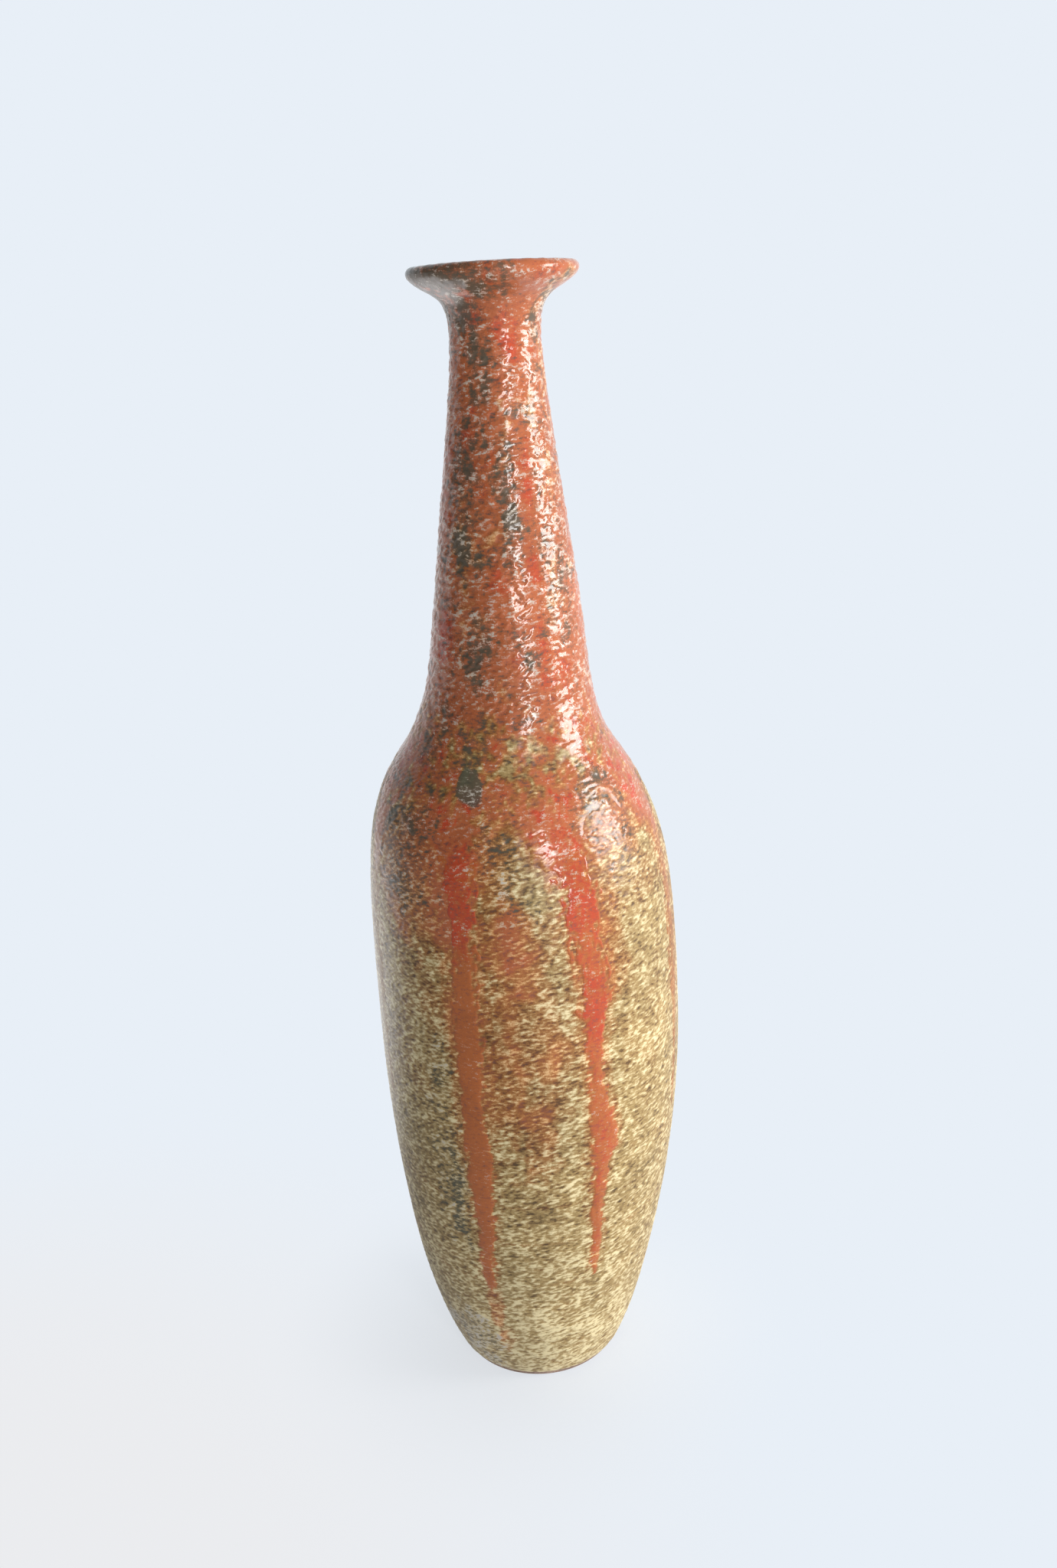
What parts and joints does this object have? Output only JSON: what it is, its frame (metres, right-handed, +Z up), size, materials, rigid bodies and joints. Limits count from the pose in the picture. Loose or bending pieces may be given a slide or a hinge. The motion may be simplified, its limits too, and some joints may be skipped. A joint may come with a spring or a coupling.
{
  "type": "pottery vase",
  "caption": "Tall hand-thrown bottle vase with a full body, a long tapered neck, a flared lip, a wrinkled glaze and a poured second glaze that runs down the body.",
  "frame": {"origin": "centre of the standing ring on the surface that the vase stands on", "axes": "+Z up along the vase's axis; -Y faces the camera of the picture, +X is to its right"},
  "size_m": [0.1084, 0.1084, 0.4],
  "materials": {
    "bare_clay": "fired unglazed stoneware, matt pinkish buff",
    "slip": "fired clay slip, matt",
    "liner_glaze": "glossy olive brown liner glaze",
    "base_glaze": "glossy wrinkled glaze, cream over olive brown",
    "orange_glaze": "glossy running red orange glaze"
  },
  "bodies": {
    "root": {"clay_body": "bare_clay", "clay_neck": "bare_clay", "slip_joint": "slip", "liner_glaze": "liner_glaze", "base_glaze": "base_glaze", "orange_coat": "orange_glaze", "run_1": "orange_glaze", "run_2": "orange_glaze", "run_3": "orange_glaze", "run_4": "orange_glaze", "run_5": "orange_glaze", "run_6": "orange_glaze", "run_7": "orange_glaze", "run_8": "orange_glaze"}
  },
  "joints": []
}
